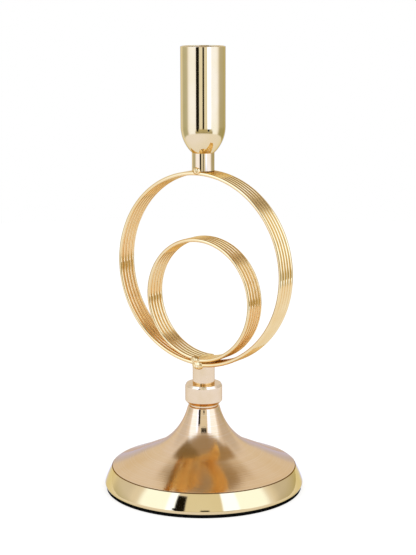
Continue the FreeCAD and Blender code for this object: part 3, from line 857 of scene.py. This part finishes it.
class HOLDER_OT_welds(bpy.types.Operator):
    """Run the weld beads that join the rings to the posts and to each other"""
    bl_idname = "holder.welds"
    bl_label = "Weld Beads"

    def execute(self, context):
        sizes, rings = context.scene.holder_welds, context.scene.holder_rings
        half = np.array([sizes.half_length, sizes.half_width, sizes.half_height])
        seam = np.array([sizes.seam_half_length, sizes.seam_half_width, sizes.seam_half_height])
        bottom = top_of("lower_post") + rings.wire_radius
        top = base_of("upper_post")
        end = rings.pitch * rings.turns / 2
        edge = rings.pitch * (rings.turns - 1) / 2 + rings.wire_radius / 2
        for side, facing in (("front", 1), ("rear", -1)):
            for level, out, height, lumps in (("bottom", end, bottom, BOTTOM_LUMPS[side]),
                                              ("top", edge, top, TOP_LUMPS)):
                name = "%s_%s" % (level, side)
                piece = bead(name + "_bead", (0, -facing * out, height), half, lumps, facing, sizes.ripple)
                settle(piece, name + "_weld")
        seat = (0, rings.pitch, middle_height("inner_coil") - rings.inner_radius + rings.wire_radius)
        piece = bead("inner_seam", seat, seam, SEAM_LUMPS, 1, sizes.ripple)
        settle(piece, "inner_seam_weld")
        return {"FINISHED"}


# Candle cup

# First points of the straight wall, past the nose and below the rim, as shares of the nose and the rim
PAST_NOSE = 1.02
BELOW_RIM = 1.3


def cup_outline(sizes, seat_radius, low, high):
    """Closed outline of the drawn cup: an arc of the nose and a straight wall, outside and inside."""
    narrowing = sizes.radius - seat_radius
    nose_radius = (sizes.nose ** 2 + narrowing ** 2) / (2 * narrowing)
    centre = (sizes.radius - nose_radius, low + sizes.nose)
    inner_radius = nose_radius - sizes.wall
    seat = -math.asin(sizes.nose / nose_radius)
    floor = -math.asin((sizes.nose - sizes.wall) / inner_radius)
    outer = arc(centre, nose_radius, seat, 0, math.radians(1.5))
    inner = arc(centre, inner_radius, 0, floor, math.radians(1.5))
    corner = np.linspace(0, math.pi, 13)
    rim = np.stack([sizes.radius - sizes.wall / 2 * (1 - np.cos(corner)),
                    high - sizes.rim * (1 - np.sin(corner))], axis=-1)
    bore = sizes.radius - sizes.wall
    wall = low + sizes.nose * PAST_NOSE, high - sizes.rim * BELOW_RIM
    outside, inside = [[sizes.radius, level] for level in wall], [[bore, level] for level in wall[::-1]]
    bottom = [[sizes.hole, low + sizes.wall], [sizes.hole, low]]
    return np.concatenate([outer, outside, rim, inside, inner, bottom])


class HOLDER_OT_cup(bpy.types.Operator):
    """Draw the bullet-nosed candle cup"""
    bl_idname = "holder.cup"
    bl_label = "Candle Cup"

    def execute(self, context):
        seat = context.scene.holder_stem.upper_radius
        sizes = context.scene.holder_cup
        outline = cup_outline(sizes, seat, base_of("candle_cup"), top_of("candle_cup"))
        finishes = [material(name) for name in ("cup_plating", "lining_plating")]
        piece = turned("candle_cup_drawn", outline, finishes, CUP_STEPS)
        middle, facing = face_rows(piece.data, "center"), face_rows(piece.data, "normal")
        inward = (middle * facing)[:, :2].sum(axis=1) < 0
        below_rim = middle[:, 2] < top_of("candle_cup") - sizes.rim
        lay_out(piece.data, inward & below_rim)
        settle(piece, "candle_cup")
        return {"FINISHED"}


# Fasteners

# Steps round the stud, and rows in one turn of its thread
STUD_STEPS = 48
THREAD_ROWS = 10


def thread(name, radius, depth, pitch, low, high, materials):
    """Threaded rod: r = radius - depth * |2 f - 1|, where f is the fraction of (z / pitch - a / turn)."""
    turn = np.linspace(0, FULL_TURN, STUD_STEPS, endpoint=False)[:, None]
    height = np.linspace(low, high, int((high - low) / pitch * THREAD_ROWS))[None, :]
    part = (height / pitch - turn / FULL_TURN) % 1
    lead = np.clip(np.minimum(height - low, high - height) / pitch, 0, 1)
    reach = radius - depth * np.abs(2 * part - 1) - depth * (1 - lead)
    grid = np.stack([reach * np.cos(turn), reach * np.sin(turn), height + 0 * turn], axis=-1)
    flat = grid * [0, 0, 1]
    return surface(name, np.concatenate([flat[:, :1], grid, flat[:, -1:]], axis=1), materials)


class HOLDER_OT_fasteners(bpy.types.Operator):
    """Cut the stud's thread and plate the nut, washers and screw"""
    bl_idname = "holder.fasteners"
    bl_label = "Fasteners"

    def execute(self, context):
        sizes = context.scene.holder_stem
        piece = thread("stud_thread", sizes.stud_radius, sizes.thread_depth, sizes.thread_pitch,
                       base_of("stem_stud"), top_of("stem_stud"), [material("zinc_plating")])
        settle(piece, "stem_stud")
        for name in ("stem_washer", "stem_lock_washer", "stem_nut", "cup_washer", "cup_screw"):
            dress_node(name, "zinc_plating")
        return {"FINISHED"}


# Studio

# What metal sees round the camera, each over the ones before it: bearing and half angle in degrees from the
# camera's side, counted towards the picture's right (no angle: all round); lowest and highest elevation;
# softness of the edges; colour of its light. Lights, soft boxes and windows are bright and cool; the flags,
# the camera with its stand and the boom's head are nearly black.
STUDIO_CARDS = (
    ("backdrop", 180, 26, -90, 14, 8, (0.74, 0.90, 1.75)),
    ("left wall", -112, 15, 0, 45, 8, (0.76, 0.89, 1.53)),
    ("right wall", 117, 22, 0, 47, 8, (0.69, 0.80, 1.36)),
    ("left shade", -106, 18, -90, 2, 10, (0.50, 0.60, 0.74)),
    ("right shade", 118, 28, -90, 1, 12, (0.44, 0.50, 0.52)),
    ("left soft box", -57, 17, -90, 50, 14, (1.12, 1.45, 2.95)),
    ("right soft box", 55, 20, -90, 50, 16, (1.14, 1.50, 3.20)),
    ("left light", -58, 20, 6, 52, 5, (1.28, 1.82, 3.90)),
    ("right light", 52, 26, 6, 52, 5, (1.28, 1.82, 3.90)),
    ("ceiling", 0, None, 54.5, 90, 3.5, (0.40, 0.37, 0.42)),
    ("left ceiling", -120, 42, 51, 82, 4, (0.25, 0.21, 0.16)),
    ("right ceiling", 130, 24, 50, 82, 5, (0.40, 0.34, 0.30)),
    ("back wall", 180, 30, 12, 55, 3, (0.88, 1.02, 1.66)),
    ("left window", -39, 5, 2, 47, 2, (1.43, 2.10, 5.40)),
    ("right window", 31.5, 9.5, -90, 50, 2, (1.43, 2.10, 5.40)),
    ("camera front", -0.5, 21.5, -90, 50, 1.5, (0.87, 1.03, 1.54)),
    ("left flag", -28, 6, -90, 37, 1.2, (0.01, 0.01, 0.01)),
    ("left flag low", -28, 8, -90, 3, 1.2, (0.01, 0.01, 0.01)),
    ("flag foot", -33, 3.5, 13, 17, 1, (0.01, 0.01, 0.01)),
    ("camera stand", 1.5, 4.2, -90, 10, 1.5, (0.02, 0.02, 0.015)),
    ("camera", 1, 5, 12, 17, 1, (0.01, 0.01, 0.01)),
    ("boom head", 0, 16, 43, 51.5, 1, (0.02, 0.02, 0.02)),
    ("far floor", 5, 46, -90, -15, 4, (0.44, 0.47, 0.46)),
)
WALLS = (0.88, 1.03, 1.78)

# Low screen: half its angle and the bearing of its middle; where its legs stand and how wide they are; the
# angle over which its sides fade and the share of its height above which it fades; all angles in degrees
SCREEN_HALF_ANGLE = 47
SCREEN_MIDDLE = 5
SCREEN_LEGS = (-28, 28)
LEG_HALF_ANGLE = 4.5
LEG_SOFTNESS = 1
LEG_TONE = (0.01, 0.01, 0.01, 1.0)
SIDE_FADE = 8
FADE_START = 0.45
SCREEN_STEPS = 48

# Steps round the floor, its rings with the middle one, and how far it lies under the pad
FLOOR_STEPS = 96
FLOOR_RINGS = 12
FLOOR_DROP = 0.02 * MM

# Where the floor's middle gives way to the room, as shares of its radius, and where the part behind the stem
# starts and is full, as cosines of the angle from straight behind
TABLE_EDGE = (0.88, 1.12)
BEHIND_EDGE = (0.78, 0.93)

# Name, bearing in degrees, distance, height and width in metres, and power in watts of each lamp
SOFT_LAMPS = (
    ("key_lamp", 40, 1.1, 1.2, 0.9, 3.0),
    ("fill_lamp", -55, 1.2, 1.0, 1.1, 2.0),
)


def towards(settings, degrees):
    """Direction along the floor at a bearing from the camera's side."""
    turn = settings.azimuth + math.radians(degrees)
    return math.sin(turn), -math.cos(turn), 0.0


def along_floor(tree, vector):
    """Direction of a vector once it is laid on the floor."""
    flat = vector_math(tree, "MULTIPLY", vector, (1.0, 1.0, 0.0))
    return vector_math(tree, "NORMALIZE", flat)


def cleared(owner):
    """Empty node tree of a new world or material."""
    owner.use_nodes = True
    owner.node_tree.nodes.clear()
    return owner.node_tree


def sight(tree):
    """Whether the camera looks, and whether metal or glass does."""
    light_path = node(tree, "LightPath").outputs
    in_metal = math_node(tree, "MAXIMUM", light_path["Is Glossy Ray"], light_path["Is Transmission Ray"])
    return light_path["Is Camera Ray"], in_metal


def mixed_surface(tree, factor, first, second):
    """Mix two shaders into the material's surface."""
    both = node(tree, "MixShader", {0: factor, 1: first.outputs[0], 2: second.outputs[0]})
    node(tree, "OutputMaterial", {"Surface": both.outputs[0]})


def staged(name, points, faces, made):
    """Mesh of the studio, kept apart from the holder."""
    mesh = bpy.data.meshes.new(name)
    mesh.from_pydata(points.reshape(-1, 3).tolist(), [], faces)
    mesh.materials.append(made)
    linked(name, mesh)


def card_mask(tree, heading, rise, aim, half_angle, lowest, highest, soft):
    """Soft-edged window in bearing and elevation: one inside the card, none outside."""
    masks = []
    if half_angle is not None:
        closeness = vector_math(tree, "DOT_PRODUCT", heading, aim, output="Value")
        edge = [math.cos(math.radians(max(0, half_angle + step))) for step in (soft, -soft)]
        masks.append(ramp(tree, closeness, *edge))
    for limit, sign in ((lowest, 1), (highest, -1)):
        if abs(limit) < 90:
            edge = [math.sin(math.radians(limit + side * soft)) for side in (-sign, sign)]
            masks.append(ramp(tree, rise, *edge))
    mask = masks[0]
    for other in masks[1:]:
        mask = product(tree, mask, other)
    return mask


def studio_world(settings):
    """World that the camera sees as white, and metal as white walls with lights, windows and flags."""
    world = bpy.data.worlds.new("studio")
    tree = cleared(world)
    ray = node(tree, "TexCoord").outputs["Generated"]
    rise = node(tree, "SeparateXYZ", {0: ray}).outputs[2]
    heading = along_floor(tree, ray)
    light = (*WALLS, 1.0)
    for label, side, half_angle, lowest, highest, soft, tone in STUDIO_CARDS:
        mask = card_mask(tree, heading, rise, towards(settings, side), half_angle, lowest, highest, soft)
        light = mix_colour(tree, mask, light, (*tone, 1.0), label)
    by_camera, in_metal = sight(tree)
    plain = (settings.room_light, settings.room_light, settings.room_light, 1.0)
    room = mix_colour(tree, in_metal, plain, light, "seen in metal")
    seen = mix_colour(tree, by_camera, room, (1.0, 1.0, 1.0, 1.0), "seen by the camera")
    sky = node(tree, "Background", {"Color": seen, "Strength": 1.0})
    node(tree, "OutputWorld", {"Surface": sky.outputs[0]})
    return world


def floor_material(settings):
    """Pale floor: plain paint that takes the shadow, and a glow for the camera, metal and glass."""
    made = bpy.data.materials.new("studio_floor")
    tree = cleared(made)
    by_camera, in_metal = sight(tree)
    place = place_on(tree)
    away = vector_math(tree, "LENGTH", place, output="Value")
    far = ramp(tree, away, *(settings.table_radius * part for part in TABLE_EDGE))
    heading = vector_math(tree, "NORMALIZE", place)
    closeness = vector_math(tree, "DOT_PRODUCT", heading, towards(settings, 180), output="Value")
    behind = ramp(tree, closeness, *BEHIND_EDGE)
    sheen = mix_colour(tree, behind, (*settings.floor_sheen, 1.0), (*settings.floor_behind, 1.0))
    tone = mix_colour(tree, in_metal, (*settings.floor_glow, 1.0), sheen)
    paint = node(tree, "BsdfDiffuse", {"Color": (*settings.floor_tone, 1.0)})
    seen = math_node(tree, "MAXIMUM", by_camera, in_metal)
    glow = node(tree, "Emission", {"Color": tone, "Strength": seen})
    table = node(tree, "AddShader", {0: paint.outputs[0], 1: glow.outputs[0]})
    mixed_surface(tree, product(tree, far, in_metal), table, node(tree, "BsdfTransparent"))
    return made


def screen_material(settings):
    """Low screen's glow, which metal alone sees: it fades at its sides and its top, and its legs are dark."""
    made = bpy.data.materials.new("studio_screen")
    tree = cleared(made)
    in_metal = sight(tree)[1]
    place = place_on(tree)
    heading = along_floor(tree, place)
    light = (*settings.screen_tone, 1.0)
    for leg in SCREEN_LEGS:
        mask = card_mask(tree, heading, 0.0, towards(settings, leg), LEG_HALF_ANGLE, -90, 90, LEG_SOFTNESS)
        light = mix_colour(tree, mask, light, LEG_TONE, "stand's leg")
    sides = card_mask(tree, heading, 0.0, towards(settings, SCREEN_MIDDLE), SCREEN_HALF_ANGLE - SIDE_FADE,
                      -90, 90, SIDE_FADE)
    height = node(tree, "SeparateXYZ", {0: place}).outputs[2]
    below_top = ramp(tree, height, settings.screen_height, settings.screen_height * FADE_START)
    solid = product(tree, in_metal, product(tree, below_top, sides))
    glow = node(tree, "Emission", {"Color": light, "Strength": 1.0})
    mixed_surface(tree, solid, node(tree, "BsdfTransparent"), glow)
    return made


def low_screen(settings):
    """Upright strip on an arc: x = r sin(a), y = -r cos(a), from the floor to its top edge."""
    across = math.radians(SCREEN_HALF_ANGLE)
    turn = settings.azimuth + math.radians(SCREEN_MIDDLE) + np.linspace(-across, across, SCREEN_STEPS)
    foot = np.stack([np.sin(turn), -np.cos(turn), 0 * turn], axis=-1) * settings.screen_distance
    grid = np.stack([foot, foot + [0, 0, settings.screen_height]])
    number = numbered(grid)[0]
    faces = np.stack([number[0, :-1], number[0, 1:], number[1, 1:], number[1, :-1]], axis=-1)
    staged("low_screen", grid, faces.tolist(), screen_material(settings))


def floor_disc(settings):
    """Flat disc: x = r cos(a), y = r sin(a), just under the pad."""
    turn = np.linspace(0, FULL_TURN, FLOOR_STEPS, endpoint=False)
    reach = np.linspace(0, 1, FLOOR_RINGS)[1:, None] ** 2 * settings.floor_radius
    grid = np.stack([reach * np.cos(turn), reach * np.sin(turn), 0 * reach * turn - FLOOR_DROP], axis=-1)
    number, onward = numbered(grid)
    faces = np.stack([number[:-1], number[1:], onward[1:], onward[:-1]], axis=-1).reshape(-1, 4).tolist()
    staged("floor", grid, faces + [number[0].tolist()], floor_material(settings))


def soft_lamp(settings, name, side, reach, height, width, watts):
    """Broad soft lamp that faces the middle of the stem; metal sees the studio's lights in its place."""
    lamp = bpy.data.lights.new(name, "AREA")
    lamp.shape = "DISK"
    lamp.size = width
    lamp.energy = watts
    held = linked(name, lamp)
    x, y, _ = towards(settings, side)
    held.location = (x * reach, y * reach, height)
    tilt = math.atan2(reach, height - middle_height("outer_coil"))
    held.rotation_euler = Euler((tilt, 0, settings.azimuth + math.radians(side)))
    held.visible_glossy = False


class HOLDER_OT_stage(bpy.types.Operator):
    """Set the floor, the room, the lamps and the camera"""
    bl_idname = "holder.stage"
    bl_label = "Studio"

    def execute(self, context):
        settings = context.scene.holder_studio
        scene = context.scene
        scene.view_settings.view_transform = "Standard"
        scene.world = studio_world(settings)
        floor_disc(settings)
        low_screen(settings)
        for lamp in SOFT_LAMPS:
            soft_lamp(settings, *lamp)
        eye = bpy.data.cameras.new("camera")
        eye.sensor_width = 36
        eye.lens = settings.lens
        camera = linked("camera", eye)
        x, y, _ = towards(settings, 0)
        camera.location = (x * settings.distance, y * settings.distance, settings.height)
        aim = Euler((math.pi / 2 - settings.pitch, 0, settings.azimuth + settings.yaw)).to_matrix()
        camera.rotation_euler = (aim @ Euler((0, 0, settings.roll)).to_matrix()).to_euler()
        scene.camera = camera
        return {"FINISHED"}


# Sidebar panel and registration

STEPS = (
    HOLDER_OT_foot,
    HOLDER_OT_foot_closure,
    HOLDER_OT_collar,
    HOLDER_OT_posts,
    HOLDER_OT_rings,
    HOLDER_OT_welds,
    HOLDER_OT_cup,
    HOLDER_OT_fasteners,
    HOLDER_OT_stage,
)


class HOLDER_PT_sidebar(bpy.types.Panel):
    bl_label = "Candle Holder"
    bl_space_type = "VIEW_3D"
    bl_region_type = "UI"
    bl_category = "Candle Holder"

    def draw(self, context):
        for name, group in SETTINGS.items():
            held = getattr(context.scene, name)
            box = self.layout.box()
            box.label(text=group.__name__)
            for field in group.__annotations__:
                box.prop(held, field)
        for step in STEPS:
            self.layout.operator(step.bl_idname)


CLASSES = (*SETTINGS.values(), *STEPS, HOLDER_PT_sidebar)


def register():
    for one in CLASSES:
        bpy.utils.register_class(one)
    for name, group in SETTINGS.items():
        setattr(bpy.types.Scene, name, PointerProperty(type=group))


def unregister():
    for name in SETTINGS:
        delattr(bpy.types.Scene, name)
    for one in reversed(CLASSES):
        bpy.utils.unregister_class(one)


def main():
    register()
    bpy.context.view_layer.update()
    for step in STEPS:
        family, action = step.bl_idname.split(".")
        getattr(getattr(bpy.ops, family), action)()


if __name__ == "__main__":
    main()
